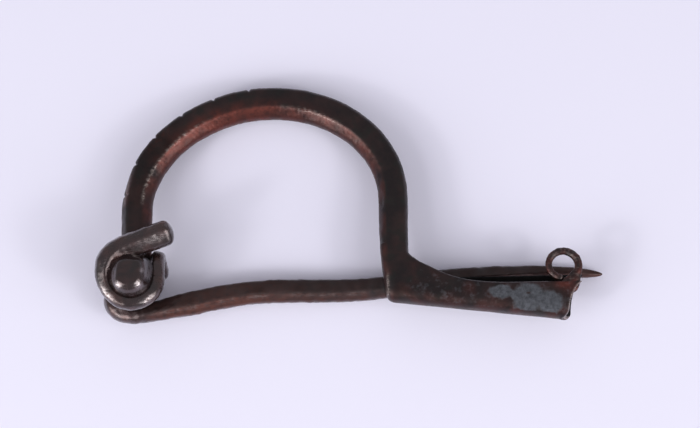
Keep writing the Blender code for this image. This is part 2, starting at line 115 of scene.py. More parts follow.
# The near bend of the chord rises under the free end.
NEAR_CHORD_SHIFT = (0.06, 0.62)
FREE_TIP_SHIFT = (2.88, 1.78)
FREE_SWELL_TURN = 109.25
FAR_SWELL = 0.28
FAR_SWELL_ANGLE = 207.0
FAR_SWELL_SPREAD = 34.0
PIN_HALF = 1.28
PIN_ROOT_HALF = 0.90
PIN_HALF_WIDTH = 0.98
PIN_POINT_HALF = 0.52
PIN_ROOT_ANGLE = 283.0
PIN_STRAIGHT = 0.09
PIN_PAST_END = 2.44
# Course of the pin: share of the way to its point, height, and share of the way past the foot
PIN_COURSE = (
    (0.26, -0.18, 0.5), (0.48, 0.04, 1.0), (0.70, 1.26, 1.0), (0.88, 1.64, 1.0), (1.0, 1.27, 1.0),
)

# Foot
FOOT_LENGTH = 18.4
FOOT_DROP = 2.3
FOOT_SLOPE = 0.125
FOOT_HEIGHT = 3.9
FOOT_WIDTH = 2.8
WALL = 0.7
FAR_STEP = 0.7
CATCH_RISE = 1.4
END_SLANT = 1.56
END_HOLLOW = 2.6
END_ROUNDING = 0.3
FAR_WALL_REACH = 0.25
UNDERCUT = 0.7
UNDERCUT_HEIGHT = 0.9
# The near wall's edge flares up into the ankle. Both edges run level with each other from
# some way past the ankle on.
FLARE_RISE = 3.6
FLARE_REACH = 12.0
FLARE_POWER = 3.2
LEVEL_FROM = 5.5

# Curl
CURL_RADIUS = 1.69
CURL_WIRE = 0.45
CURL_START = -38.0
CURL_END = 268.0
CURL_SHIFT = (-0.44, 0.13)
CURL_CLOSING = 0.16
# Course of the curl's root, from the foot's upper corner
CURL_ROOT = ((-0.5, -0.9), (0.25, -0.35), (0.62, 0.2))

# Hammer marks and pits of each piece: depth, size and seed of each uneven field
BOW_RELIEF = ((0.014, 3.6, 1), (0.012, 1.3, 2), (0.007, 0.5, 3))
WIRE_RELIEF = ((0.022, 3.0, 31), (0.014, 1.1, 32), (0.007, 0.45, 33))
CURL_RELIEF = ((0.012, 0.9, 41), (0.008, 0.4, 42))

# Wear along the ridge of the bevel: amount, middle and width of each, along the arch
RIDGE_WEAR = ((1.3, 0.07, 0.06), (0.4, 0.62, 0.06), (0.7, 0.24, 0.07))
# Lobes of the grey crust on the foot's near wall: place, and reach each way
CRUST_LOBES = (
    ((39.2, -1.85), (1.5, 0.85)), ((42.0, -2.5), (2.0, 1.75)), ((44.3, -3.1), (1.6, 1.35)),
)

# Camera: its lean from straight above in degrees, along the foot and up the bow, and the
# place that it looks at, in the brooch's own axes
CAMERA_LEAN = (3.5, -22.0)
CAMERA_AIM = (23.169, 7.883, 0.0)
CAMERA_DISTANCE = 179.917
LENS = 85.0
SENSOR = 36.0

# Table and lights, in metres and watts
TABLE_HALF = 0.9
SOFT_BOXES = (("left", (-0.40, -0.28, 0.30), 2.05), ("right", (0.42, -0.26, 0.32), 1.75))
BOX_SIZE = 0.5
LAMP_SIZE = 0.08
LAMP_SHARE = 0.25
ROOM_STRENGTH = 0.46


# Curves and fields

def unit(vectors):
    """Each vector at length 1."""
    return vectors / np.linalg.norm(vectors, axis=-1, keepdims=True)


def ease(low, high, values):
    """Smooth step: 3t^2 - 2t^3 of how far each value is from low to high."""
    t = np.clip((np.asarray(values, float) - low) / (high - low), 0, 1)
    return t * t * (3 - 2 * t)


def bell(middle, width, values):
    """Bell curve exp(-((v - middle) / width)^2)."""
    return np.exp(-((np.asarray(values, float) - middle) / width) ** 2)


def ripple(points, size, seed, waves=20):
    """Smooth uneven field, about -1 to 1: a sum of plane waves in all directions.

    The waves are about as long as the size, in millimetres.
    """
    rng = np.random.default_rng(seed)
    directions = unit(rng.normal(size=(waves, 3))) * (2 * np.pi / size)
    directions *= rng.uniform(0.7, 1.5, (waves, 1))
    phases = rng.uniform(0, 2 * np.pi, waves)
    return np.sin(points @ directions.T + phases).sum(axis=-1) / np.sqrt(waves)


def relief(points, layers):
    """Sum of uneven fields, each given as (depth, size, seed)."""
    return sum(depth * ripple(points, size, seed) for depth, size, seed in layers)


def spot(place, reach, points):
    """Spot round a place (x, y): the product of a bell curve each way."""
    return bell(place[0], reach[0], points[..., 0]) * bell(place[1], reach[1], points[..., 1])


def smoothed(rows, reach, passes=2):
    """Moving average along the first axis, over reach rows either way, with the ends kept."""
    rows = np.asarray(rows, float)
    count = len(rows)
    at = np.arange(count)
    span = np.minimum(reach, np.minimum(at, count - 1 - at))
    for _ in range(passes):
        total = np.concatenate([np.zeros((1, *rows.shape[1:])), np.cumsum(rows, axis=0)])
        width = (2 * span + 1).reshape(-1, *[1] * (rows.ndim - 1))
        rows = (total[at + span + 1] - total[at - span]) / width
    return rows


def lengths_along(points):
    """Distance run along a path at each of its points."""
    steps = np.linalg.norm(np.diff(points, axis=0), axis=1)
    return np.concatenate([[0.0], np.cumsum(steps)])


def interpolate(at, knots, rows):
    """Linear interpolation of each column of rows."""
    rows = np.asarray(rows, float)
    flat = rows.reshape(len(rows), -1)
    made = np.stack([np.interp(at, knots, column) for column in flat.T], axis=-1)
    return made.reshape(len(at), *rows.shape[1:])


def smooth_path(knots, steps):
    """Catmull-Rom curve through the knots, with the same number of steps in each span."""
    knots = np.asarray(knots, float)
    padded = np.vstack([2 * knots[0] - knots[1], knots, 2 * knots[-1] - knots[-2]])
    p0, p1, p2, p3 = (padded[i : len(knots) - 1 + i, None] for i in range(4))
    t = (np.arange(steps) / steps)[None, :, None]
    spans = 0.5 * (
        2 * p1 + (p2 - p0) * t + (2 * p0 - 5 * p1 + 4 * p2 - p3) * t**2
        + (3 * p1 - p0 - 3 * p2 + p3) * t**3
    )
    return np.vstack([spans.reshape(-1, knots.shape[1]), knots[-1:]])


def soft_polygon(turns, flats, crispness):
    """Radius of a section in each direction, for flats as (direction in degrees, distance).

    It is one over the p-norm of cos(turn - direction) / distance over the flats that
    look that way, with p the crispness, so that a high one gives sharp corners.
    """
    directions = np.radians([flat[0] for flat in flats])
    distances = np.array([flat[1] for flat in flats])
    looks = np.cos(np.asarray(turns)[..., None] - directions) / distances
    return (np.maximum(looks, 0) ** crispness).sum(axis=-1) ** (-1 / crispness)


# Meshes

def on_table(points):
    """From the brooch's own axes, in millimetres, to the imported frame, in metres."""
    return ROD_PLACE + np.asarray(points) @ AXES / METRE


def signed_volume(points, faces):
    """Six times the volume inside the faces, negative where they are wound inward."""
    corners = points[faces]
    fans = [np.cross(corners[:, i], corners[:, i + 1]) for i in range(1, faces.shape[1] - 1)]
    return sum((corners[:, 0] * fan).sum() for fan in fans)


def grid_faces(stations, sides):
    """Quads between neighbouring rings of a grid that is closed round each ring."""
    at = np.arange(stations * sides).reshape(stations, sides)
    turned = np.roll(at, -1, axis=1)
    quads = np.stack([at[:-1], turned[:-1], turned[1:], at[1:]], axis=-1)
    return quads.reshape(-1, 4)


def pole_faces(ring, pole):
    """Triangles from a ring to a pole, wound as the grid's quads are at the start of the rows."""
    turned = np.roll(ring, -1)
    return np.stack([np.full(len(ring), pole), turned, ring], axis=-1)


MARKS = ("red", "rub_and_highlight", "crust", "shade_and_dark_patches")


def make_piece(name, rings, finish, node, body, marks, ends=("pole", "pole")):
    """Closed skin over rings of points (stations by sides by 3), one vertex a point.

    Each end is closed by a pole in the middle of its ring, or by quads across a folded
    ring, or not at all where the rings run round and meet. Marks are values at each point
    that the finish reads by name.
    """
    stations, sides, _ = rings.shape
    points = rings.reshape(-1, 3)
    quads = grid_faces(stations, sides)
    triangles = np.empty((0, 3), int)
    blank = np.zeros(stations * sides)
    marks = {key: np.reshape(marks.get(key, blank), -1) for key in MARKS}
    first = np.arange(sides)
    last = first + (stations - 1) * sides
    for ring, kind, forward in ((first, ends[0], True), (last, ends[1], False)):
        if kind == "pole":
            pole = len(points)
            points = np.vstack([points, points[ring].mean(axis=0)])
            for key, value in marks.items():
                marks[key] = np.append(value, value[ring].mean())
            cap = pole_faces(ring, pole)
            triangles = np.vstack([triangles, cap if forward else cap[:, ::-1]])
        elif kind == "fold":
            out = ring[: sides // 2]
            back = ring[sides // 2 :][::-1]
            cap = np.stack([out[:-1], back[:-1], back[1:], out[1:]], axis=-1)
            quads = np.vstack([quads, cap if forward else cap[:, ::-1]])
    if ends[0] == "round":
        round_trip = np.stack([last, np.roll(last, -1), np.roll(first, -1), first], axis=-1)
        quads = np.vstack([quads, round_trip])
    if signed_volume(points, quads) < 0:
        quads = quads[:, ::-1]
        triangles = triangles[:, ::-1]
    mesh = bpy.data.meshes.new(name)
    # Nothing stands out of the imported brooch's box.
    places = np.clip(on_table(points), *cad_box)
    mesh.from_pydata(places.tolist(), [], quads.tolist() + triangles.tolist())
    for key, value in marks.items():
        mesh.attributes.new(key, "FLOAT", "POINT").data.foreach_set("value", value)
    mesh.shade_smooth()
    mesh.materials.append(finish)
    made = bpy.data.objects.new(name, mesh)
    bpy.context.scene.collection.objects.link(made)
    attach(made, body)
    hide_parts(node)


# Finishes

def linear(code):
    """Linear colour of an sRGB hex value."""
    parts = np.array([int(code[i : i + 2], 16) for i in (1, 3, 5)]) / 255
    low = parts / 12.92
    high = ((parts + 0.055) / 1.055) ** 2.4
    return (*np.where(parts <= 0.04045, low, high), 1.0)


def add(tree, kind, values=(), feeds=(), **settings):
    """Adds a node with its settings, the values of its inputs, and what feeds them."""
    made = tree.nodes.new(kind)
    for key, value in settings.items():
        setattr(made, key, value)
    for key, value in dict(values).items():
        made.inputs[key].default_value = value
    for key, socket in dict(feeds).items():
        tree.links.new(socket, made.inputs[key])
    return made


def noise(tree, place, size, detail=4.0, roughness=0.55):
    """Noise whose lumps are about the size, in millimetres."""
    return add(
        tree, "ShaderNodeTexNoise",
        {"Scale": METRE / size, "Detail": detail, "Roughness": roughness}, {"Vector": place},
    ).outputs["Fac"]


def between(tree, value, low, high, to_low=0.0, to_high=1.0):
    """Value stretched so that low and high become the two ends, and held there."""
    return add(
        tree, "ShaderNodeMapRange",
        {"From Min": low, "From Max": high, "To Min": to_low, "To Max": to_high},
        {"Value": value},
    ).outputs["Result"]


def maths(tree, operation, first, second):
    """Result of an operation on two values, each a socket or a number, kept within 0 to 1."""
    made = add(tree, "ShaderNodeMath", operation=operation, use_clamp=True)
    for i, value in enumerate((first, second)):
        if isinstance(value, (int, float)):
            made.inputs[i].default_value = value
        else:
            tree.links.new(value, made.inputs[i])
    return made.outputs[0]


def blend_colours(tree, share, under, over):
    """Colour over another by a share, each a socket or a hex value."""
    made = add(tree, "ShaderNodeMix", feeds={0: share}, data_type="RGBA")
    for i, colour in ((6, under), (7, over)):
        if isinstance(colour, str):
            made.inputs[i].default_value = linear(colour)
        else:
            tree.links.new(colour, made.inputs[i])
    return made.outputs[2]


def mark(tree, name):
    """Value of a mark that make_piece has stored at the points."""
    return add(tree, "ShaderNodeAttribute", attribute_name=name).outputs["Fac"]


def new_finish(name):
    """Material with its node tree and its shader."""
    material = bpy.data.materials.new(name)
    material.use_nodes = True
    tree = material.node_tree
    return material, tree, tree.nodes["Principled BSDF"]


# Colours of the crust and of the near-black painted shade and dark patches, depths of the
# bumps in metres, and the metal's own values
CRUST_DARK = "#313237"
CRUST_PALE = "#505259"
SHADE_AND_PATCH_BLACK = "#0c0a0a"
PIT_DEPTH = 0.00010
SCRATCH_DEPTH = 0.00003
METALLIC = 0.7
COAT_ROUGHNESS = 0.17


def patinated_bronze(name, dark, brown, green, red, wear_and_highlight, roughness, gloss):
    """Bronze under a thin brown-black patina that wear has polished.

    The eye sees near-black brown with redder metal where the patina is thin, greenish
    black bloom in patches of a millimetre or two, and bright hair scratches on the edges.
    The rubbed colour also paints highlights where the lamps reflect, and a near-black
    painted shade darkens the channel, gaps and lit spots.
    """
    material, tree, shader = new_finish(name)
    place = add(tree, "ShaderNodeTexCoord").outputs["Object"]
    cloud = noise(tree, place, 3.2)
    grain = noise(tree, place, 0.55, 6.0, 0.62)
    bloom = between(tree, noise(tree, place, 1.7, 5.0), 0.50, 0.64)
    # Hair scratches run with the foot: a noise of 1.1 mm that is eight times finer across.
    drawn = add(
        tree, "ShaderNodeMapping", {"Rotation": (0.3, 0.2, 0.8), "Scale": (1.0, 8.0, 8.0)},
        {"Vector": place},
    ).outputs["Vector"]
    scratch = noise(tree, drawn, 1.1, 5.0, 0.7)
    colour = blend_colours(tree, between(tree, cloud, 0.38, 0.66), dark, brown)
    colour = blend_colours(tree, maths(tree, "MULTIPLY", bloom, 0.6), colour, green)
    thin = between(tree, grain, 0.30, 0.56, 0.45, 1.0)
    thin = maths(tree, "MULTIPLY", mark(tree, "red"), thin)
    colour = blend_colours(tree, thin, colour, red)
    # Rubbed bright: real wear on ridges and edges, and painted highlights where the lamps reflect.
    rub_and_highlight = maths(tree, "MULTIPLY", mark(tree, "rub_and_highlight"), between(tree, scratch, 0.40, 0.62))
    colour = blend_colours(tree, rub_and_highlight, colour, wear_and_highlight)
    ragged = between(tree, grain, 0.2, 0.8, -0.16, 0.16)
    crust = between(tree, maths(tree, "ADD", mark(tree, "crust"), ragged), 0.40, 0.60)
    powder = between(tree, noise(tree, place, 0.45, 5.0, 0.65), 0.34, 0.66)
    powder = blend_colours(tree, powder, CRUST_DARK, CRUST_PALE)
    colour = blend_colours(tree, crust, colour, powder)
    # Painted shade: near-black laid over the colour in the channel, in gaps and over lit spots,
    # and in darker patches
    shade_and_dark_patches = mark(tree, "shade_and_dark_patches")
    colour = blend_colours(tree, shade_and_dark_patches, colour, SHADE_AND_PATCH_BLACK)
    tree.links.new(colour, shader.inputs["Base Color"])
    matt = between(tree, grain, 0.25, 0.75, roughness - 0.10, roughness + 0.14)
    matt = maths(tree, "SUBTRACT", matt, maths(tree, "MULTIPLY", rub_and_highlight, 0.14))
    matt = maths(tree, "ADD", matt, maths(tree, "MULTIPLY", maths(tree, "ADD", crust, shade_and_dark_patches), 0.5))
    tree.links.new(matt, shader.inputs["Roughness"])
    metal = maths(tree, "SUBTRACT", METALLIC, maths(tree, "MULTIPLY", crust, METALLIC))
    tree.links.new(metal, shader.inputs["Metallic"])
    # Handling has left a clear gloss on the patina, but none on crust, painted shade or dark
    # patches.
    bare = maths(tree, "SUBTRACT", gloss, maths(tree, "ADD", crust, shade_and_dark_patches))
    tree.links.new(bare, shader.inputs["Coat Weight"])
    shader.inputs["Coat Roughness"].default_value = COAT_ROUGHNESS
    fine = maths(tree, "MULTIPLY", grain, between(tree, crust, 0.0, 1.0, 0.5, 1.0))
    pits = add(
        tree, "ShaderNodeBump", {"Strength": 0.5, "Distance": PIT_DEPTH}, {"Height": fine},
    ).outputs["Normal"]
    scratched = add(
        tree, "ShaderNodeBump", {"Strength": 0.35, "Distance": SCRATCH_DEPTH},
        {"Height": scratch, "Normal": pits},
    ).outputs["Normal"]
    tree.links.new(scratched, shader.inputs["Normal"])
    return material


def table_top():
    """Smooth matt white board with a cool cast, which gives soft shadows and no grain."""
    material, _, shader = new_finish("matt_white_board")
    shader.inputs["Base Color"].default_value = linear("#e9e6f6")
    shader.inputs["Roughness"].default_value = 0.9
    shader.inputs["Specular IOR Level"].default_value = 0.1
    return material


BOW_BRONZE = patinated_bronze(
    "brown_black_bronze", "#272021", "#3a2a29", "#252725", "#66322a", "#b8a9a2", 0.38, 0.15,
)
WIRE_BRONZE = patinated_bronze(
    "drawn_dark_bronze", "#332829", "#473636", "#302c2b", "#6a3d34", "#d2c8c8", 0.25, 0.9,
)
ROD_BRONZE = patinated_bronze(
    "rubbed_dark_bronze", "#2c1f1f", "#3b2928", "#2a2323", "#4c302e", "#e0d4d6", 0.20, 1.0,
)


# Bow and foot

def arch(turn):
    """Centre line: an ellipse whose radius is stretched by 1 + lean sin(2 angle)."""
    angle = np.pi * (1 - np.asarray(turn, float))
    stretch = 1 + BOW_LEAN * np.sin(2 * angle)
    return np.stack([
        BOW_MIDDLE + BOW_HALF_SPAN * stretch * np.cos(angle),
        BOW_SPRINGING + BOW_RISE * stretch * np.sin(angle),
    ], axis=-1)


ANKLE_X = arch(1.0)[0]
HEAD_X = arch(0.0)[0]


def foot_bottom(x):
    """Height of the fold, which falls evenly along the foot."""
    return -FOOT_DROP - FOOT_SLOPE * (x - ANKLE_X)


def foot_top(x):
    """Near wall's edge: level along the foot, with a flare up into the ankle."""
    level = foot_bottom(ANKLE_X + FOOT_LENGTH) + FOOT_HEIGHT
    left = np.clip(1 - np.clip(x - ANKLE_X - ANKLE_HALF, 0, None) / FLARE_REACH, 0, 1)
    return level + FLARE_RISE * left**FLARE_POWER


def limb_course(y):
    """Middle and half width of the far limb at each height, and its share of the way down."""
    share = (BOW_SPRINGING - y) / (BOW_SPRINGING - foot_bottom(ANKLE_X) - WALL / 2)
    return ANKLE_X + LIMB_KICK * share**3, ANKLE_HALF - LIMB_THINNING * share**2, share


# How far each edge line has run after some shares of the ankle's stations, which keeps the
# stations of the two lines across from each other
PACE_AT = (0, 0.16, 0.5, 0.8, 1)
OUTER_PACE = (0, 0.20, 0.42, 0.70, 1)
INNER_PACE = (0, 0.14, 0.50, 0.80, 1)


def bow_edges():
    """The two edge lines of the bow and foot, and what the sections between them need.

    It returns the line outside the bend, the line inside, half the width, the share of the
    section that is folded into the channel, labels that run from -1 at the head over 0 to 1
    along the arch to 2 on the foot, and the share of the foot's length.
    """
    seat = BORE_RADIUS + (EYE_RADIUS - BORE_RADIUS) / 3
    head_y = np.linspace(seat, BOW_SPRINGING, 62)[:-1]
    head_share = (head_y - seat) / (BOW_SPRINGING - seat)
    head = np.stack([HEAD_X * head_share, head_y], axis=-1)
    turn = np.linspace(0, 1, 440)
    limb_y = np.linspace(BOW_SPRINGING, LIMB_END, 52)[1:]
    limb_x, limb_half, limb_share = limb_course(limb_y)
    limb = np.stack([limb_x, limb_y], axis=-1)
    centre = np.vstack([head, arch(turn), limb])
    rise = np.sin(np.pi * turn)
    ends = HEAD_HALF + (ANKLE_HALF - HEAD_HALF) * turn
    half = np.concatenate([
        np.full(len(head), HEAD_HALF), ends + (CROWN_HALF - ends) * rise, limb_half,
    ])
    clear = np.clip((head_y - EYE_RADIUS) / EYE_RADIUS, 0, 1)
    width = np.concatenate([
        HEAD_END_HALF_WIDTH + (BAR_HALF_WIDTH - HEAD_END_HALF_WIDTH) * clear,
        np.full(len(turn), BAR_HALF_WIDTH),
        BAR_HALF_WIDTH - (BAR_HALF_WIDTH - LIMB_END_HALF_WIDTH) * limb_share,
    ])
    tangent = unit(smoothed(np.gradient(centre, axis=0), 6))
    outward = np.stack([-tangent[:, 1], tangent[:, 0]], axis=-1)
    outside = centre + outward * half[:, None]
    inside = centre - outward * half[:, None]
    labels = np.concatenate([-1 + head_share, turn, 1 + 0.2 * limb_share])

    # From the limb the outside runs down the flare while the inside rounds the corner.
    meet = ANKLE_X + LEVEL_FROM
    flare_x = np.linspace(outside[-1, 0], meet, 60)
    outer_line = np.vstack([outside[-1:], np.stack([flare_x, foot_top(flare_x)], axis=-1)])
    corner_y = np.linspace(LIMB_END, HEEL_TOP, 30)
    corner_x, corner_half, _ = limb_course(corner_y)
    bottom_x = np.linspace(ANKLE_X + HEEL_END, meet, 40)
    inner_line = np.vstack([
        np.stack([corner_x - corner_half, corner_y], axis=-1),
        np.array(HEEL) + (ANKLE_X, 0.0),
        np.stack([bottom_x, foot_bottom(bottom_x)], axis=-1),
    ])
    t = np.linspace(0, 1, 110)[1:]
    lead = 12
    lines = []
    for edge, line, pace in ((outside, outer_line, OUTER_PACE), (inside, inner_line, INNER_PACE)):
        run = lengths_along(line)
        at = smoothed(np.interp(t, PACE_AT, pace), 8) * run[-1]
        stations = np.vstack([edge[-lead:], interpolate(at, run, line)])
        lines.append(smoothed(stations, 4)[lead:])

    # Along the foot both run level with each other.
    foot_x = np.linspace(meet, ANKLE_X + FOOT_LENGTH, 112)[1:]
    outside = np.vstack([outside, lines[0], np.stack([foot_x, foot_top(foot_x)], axis=-1)])
    inside = np.vstack([inside, lines[1], np.stack([foot_x, foot_bottom(foot_x)], axis=-1)])
    foot_half = FOOT_WIDTH / 2
    opening = width[-1] + (foot_half - width[-1]) * ease(0, 0.8, t)
    width = np.concatenate([width, opening, np.full(len(foot_x), foot_half)])
    folded = np.concatenate([np.zeros(len(centre)), ease(0.10, 0.74, t), np.ones(len(foot_x))])
    labels = np.concatenate([labels, 1.2 + 0.3 * t, np.full(len(foot_x), 2.0)])
    foot_share = np.clip((inside[:, 0] - ANKLE_X) / FOOT_LENGTH, 0, 1) * (folded > 0)
    return outside, inside, width, folded, labels, foot_share


HALF_RING = 58
FOLD_POWER = 0.80
BAR_CRISPNESS = 16
# Flats of the bar, as (direction, distance). Round a section 0 degrees looks out of the bend,
# 90 at the viewer and 180 into the bend.
BAR_FLATS = (
    (0, 1.0), (42, 1.20), (90, 1.0), (141, 0.99), (180, 1.0), (212, 0.95), (270, 1.0), (320, 1.14),
)
HEAD_FLATS = (BAR_FLATS[0], (36, 1.02), *BAR_FLATS[2:])
ANKLE_FLATS = (
    (0, 1.0), (45, 1.24), (90, 1.0), (138, 1.22), (180, 1.0), (222, 1.1), (270, 1.0), (315, 1.16),
)


def bar_section(labels, count):
    """Sections of the bar as (toward the outside, toward the viewer), both -1 to 1.

    Half of the points run round the inside of the bend from lip to lip, half cross the
    outside. The bevel into the bend dies away at the ankle, and the head has one on its
    outside as well. The directions of the points are returned too.
    """
    share = (np.arange(count) + 0.5) / count
    turns = np.radians(np.concatenate([35 + 290 * share, 325 + 70 * share]))
    head = ease(0.15, 0.04, labels)[:, None]
    ankle = ease(0.98, 1.22, labels)[:, None]
    bar, at_head, at_ankle = (
        soft_polygon(turns, flats, BAR_CRISPNESS) for flats in (BAR_FLATS, HEAD_FLATS, ANKLE_FLATS)
    )
    radius = bar + head * (at_head - bar) + ankle * (at_ankle - bar)
    return np.stack([radius * np.cos(turns), radius * np.sin(turns)], axis=-1), turns


def channel_section(height, catch, count):
    """Section of the folded foot as (height, toward the viewer), for the heights of its walls.

    Down the near wall, round the fold and up the far wall, the catch, with half the wall's
    thickness to either side of that line and round lips at both ends. The fold is the
    half of a superellipse |h|^n + |b|^n = 1.
    """
    middle = (FOOT_WIDTH - WALL) / 2
    seat = FOOT_WIDTH / 2
    near = (height - seat)[:, None]
    far = (catch - seat)[:, None]
    bend = np.pi * middle
    share = (np.arange(count) + 0.5) / count
    total = near + bend + far
    run = share * total
    angle = np.clip((run - near) / middle, 0, np.pi)
    down = np.where(run < near, near - run, np.where(run > near + bend, run - near - bend, 0.0))
    h = seat + down - middle * np.sin(angle) ** FOLD_POWER
    b = middle * np.sign(np.cos(angle)) * np.abs(np.cos(angle)) ** FOLD_POWER
    line = np.stack([h, b], axis=-1)
    along = unit(np.gradient(line, axis=1))
    normal = np.stack([along[..., 1], -along[..., 0]], axis=-1)
    normal *= np.sign(normal[:, :1, 1:])
    lip = np.clip(np.minimum(run, total - run) / (WALL / 2), 0, 1)
    half = (WALL / 2 * np.sqrt(1 - (1 - lip) ** 2))[..., None]
    return np.concatenate([line + normal * half, (line - normal * half)[:, ::-1]], axis=1)


def build_bow():
    """Bar and foot as one skin: the bar's section opens into the channel's along the ankle."""
    outside, inside, width, folded, labels, foot_share = bow_edges()
    height = np.linalg.norm(outside - inside, axis=1)
    bar, turns = bar_section(labels, HALF_RING)
    bar_rows = np.stack([
        (1 + bar[..., 0]) * height[:, None] / 2, bar[..., 1] * width[:, None],
    ], axis=-1)
    corner_x = ANKLE_X + FOOT_LENGTH
    left = corner_x - np.maximum(inside[:, 0], ANKLE_X)
    catch = FOOT_HEIGHT + CATCH_RISE - FOOT_SLOPE * left
    near_wall = np.maximum(height, FOOT_WIDTH + 0.1)
    far_wall = np.maximum(near_wall - FAR_STEP, catch)
    channel_rows = channel_section(near_wall, far_wall, HALF_RING)
    section = bar_rows + (channel_rows - bar_rows) * folded[:, None, None]
    up = unit(outside - inside)
    flat = inside[:, None] + up[:, None] * section[..., :1]
    rings = np.concatenate([flat, section[..., 1:]], axis=-1)

    # The end is cut on a hollow slant. The far wall reaches a little further, and the fold
    # stays back.
    top = FOOT_HEIGHT + CATCH_RISE * ease(0.3, -0.6, section[..., 1])
    above = np.clip(section[..., 0] / top, 0, 1)
    rings[..., 0] += foot_share[:, None] * END_SLANT * above**END_HOLLOW
    late = ease(0.8, 1.0, foot_share)[:, None]
    rings[..., 0] += late * (FAR_WALL_REACH * ease(0.2, -0.8, section[..., 1]) - END_ROUNDING)
    under = np.clip(1 - section[..., 0] / UNDERCUT_HEIGHT, 0, 1)
    last = ease(0.95, 1.0, foot_share)[:, None]
    rings[..., 0] -= UNDERCUT * last * (1 - np.sqrt(1 - under**2))

    # Hammer marks and pits stand less than a twentieth of a millimetre.
    across = unit(np.concatenate([up, np.zeros((len(up), 1))], axis=-1))[:, None]
    cosines = np.cos(turns)[None, :, None]
    sines = np.sin(turns)[None, :, None]
    lean = cosines * across + sines * np.array([0, 0, 1.0])
    depth = (0.012 + relief(rings, BOW_RELIEF))[..., None]
    rings = rings - lean * depth * (1 - 0.6 * folded)[:, None, None]

    # Nicks across the outside of the bow.
    run = lengths_along((outside + inside) / 2)
    at = np.interp(NOTCHES, labels[labels < 1.1], run[labels < 1.1])
    reach = np.abs(run[:, None] - at).min(axis=1)
    cut = NOTCH_DEPTH * np.clip(1 - reach / NOTCH_HALF_WIDTH, 0, 1) * (folded == 0)
    rings -= across * (cut[:, None] * ease(0.35, 0.85, np.cos(turns))[None])[..., None]

    marks = bow_marks(rings, turns, labels, folded, height[:, None], section)
    rings, marks = with_cut_end(rings, marks)
    make_piece(
        "bow_and_foot", rings, BOW_BRONZE, "bow", "bow_body", marks, ("pole", "fold"),
    )


def bow_marks(rings, turns, labels, folded, height, section):
    """Where the bow is reddish, rubbed bright, crusted, brightened by painted highlights or
    darkened by painted shade and dark patches.

    The bar goes by the label along it and the degrees round it, and the foot by the height
    in its section and by the place along it.
    """
    degrees = np.degrees(turns)[None]
    along = labels[:, None]
    folded = folded[:, None]
    foot = folded > 0.9
    high = section[..., 0]
    toward = section[..., 1]
    patchy = ripple(rings, 2.2, 11)
    fine = ripple(rings, 0.7, 12)

    # Red on the bevel, most at the crown
    facet = ease(112, 122, degrees) * ease(215, 190, degrees)
    crown = bell(0.36, 0.24, along)
    red = facet * (0.15 + 0.72 * crown + 0.3 * bell(0.82, 0.1, along) + 0.16 * patchy)
    red += (0.50 + 0.2 * patchy) * crown * ease(70, 112, degrees) * ease(150, 120, degrees)
    red += 0.35 * bell(0.03, 0.05, along) * ease(70, 50, degrees) * ease(5, 20, degrees)
    red += 0.3 * bell(0.2, 0.04, along) * ease(100, 60, degrees) * (0.5 + 0.5 * fine)
    red *= 1 - folded
    red += folded * (0.02 + 0.16 * ease(1.1, 0.3, high) + 0.14 * patchy)
    red += 1.1 * spot((45.9, -1.0), (1.1, 0.7), rings) * foot

    # Rubbed ridge of the bevel, head and edge of the foot, and a painted highlight down the heel's
    # inner edge
    wear_and_highlight = sum(amount * bell(middle, width, along) for amount, middle, width in RIDGE_WEAR)
    rub_and_highlight = bell(116, 5, degrees) * wear_and_highlight * (0.7 + 0.7 * fine)
    rub_and_highlight += 0.25 * bell(0.64, 0.06, along) * bell(122, 5, degrees)
    rub_and_highlight += 0.5 * bell(0.04, 0.04, along) * bell(38, 12, degrees) * (folded == 0)
    # Painted highlight: a bright line down the heel's inner edge.
    corner = bell(ANKLE_X - 0.64, 0.15, rings[..., 0]) * (rings[..., 2] > 0.2)
    rub_and_highlight += 0.9 * corner * ease(0.6, -0.4, rings[..., 1]) * ease(-2.1, -1.6, rings[..., 1])
    rub_and_highlight += 0.06 * foot * ease(0.25, 0.05, height - high) * (toward > 0)

    # Crust in lobes, with a notch. A thin film of it, which shows only as specks, lies over
    # the whole near wall.
    lobes = np.maximum.reduce([spot(place, reach, rings) for place, reach in CRUST_LOBES])
    near_wall = (toward > 0.9) & (folded > 0.95)
    crust = lobes * near_wall * (1.1 + 0.10 * ripple(rings, 1.3, 13))
    crust *= 1 - 0.62 * spot((42.0, -2.1), (0.6, 0.22), rings)
    crust = np.maximum(crust, (0.39 + 0.02 * patchy) * folded * ease(0.2, 0.9, toward))

    # Painted shade, near-black, inside the channel, on the far wall's lip and at the heel over a
    # lit bulge; darker patches on the near face by the head
    inner = np.concatenate([np.zeros(HALF_RING), np.ones(HALF_RING)])[None]
    hidden = inner * ease(0.0, 0.4, height + 0.1 - high * (toward > 0))
    far_lip = ease(0.5, 0.0, height + CATCH_RISE - high) * (toward < 0)
    shade_and_dark_patches = folded * np.clip(hidden + far_lip, 0, 1)
    shade_and_dark_patches += 0.4 * spot((ANKLE_X + 0.3, -1.6), (0.6, 0.6), rings)
    near_face = ease(30, 55, degrees) * ease(125, 108, degrees)
    shade_and_dark_patches += near_face * 0.3 * bell(0.08, 0.1, along)
    shade_and_dark_patches += near_face * (0.45 + 0.2 * patchy) * bell(0.2, 0.045, along)
    found = {"red": red, "rub_and_highlight": rub_and_highlight, "crust": crust, "shade_and_dark_patches": shade_and_dark_patches}
    return {key: np.clip(value, 0, 1) for key, value in found.items()}


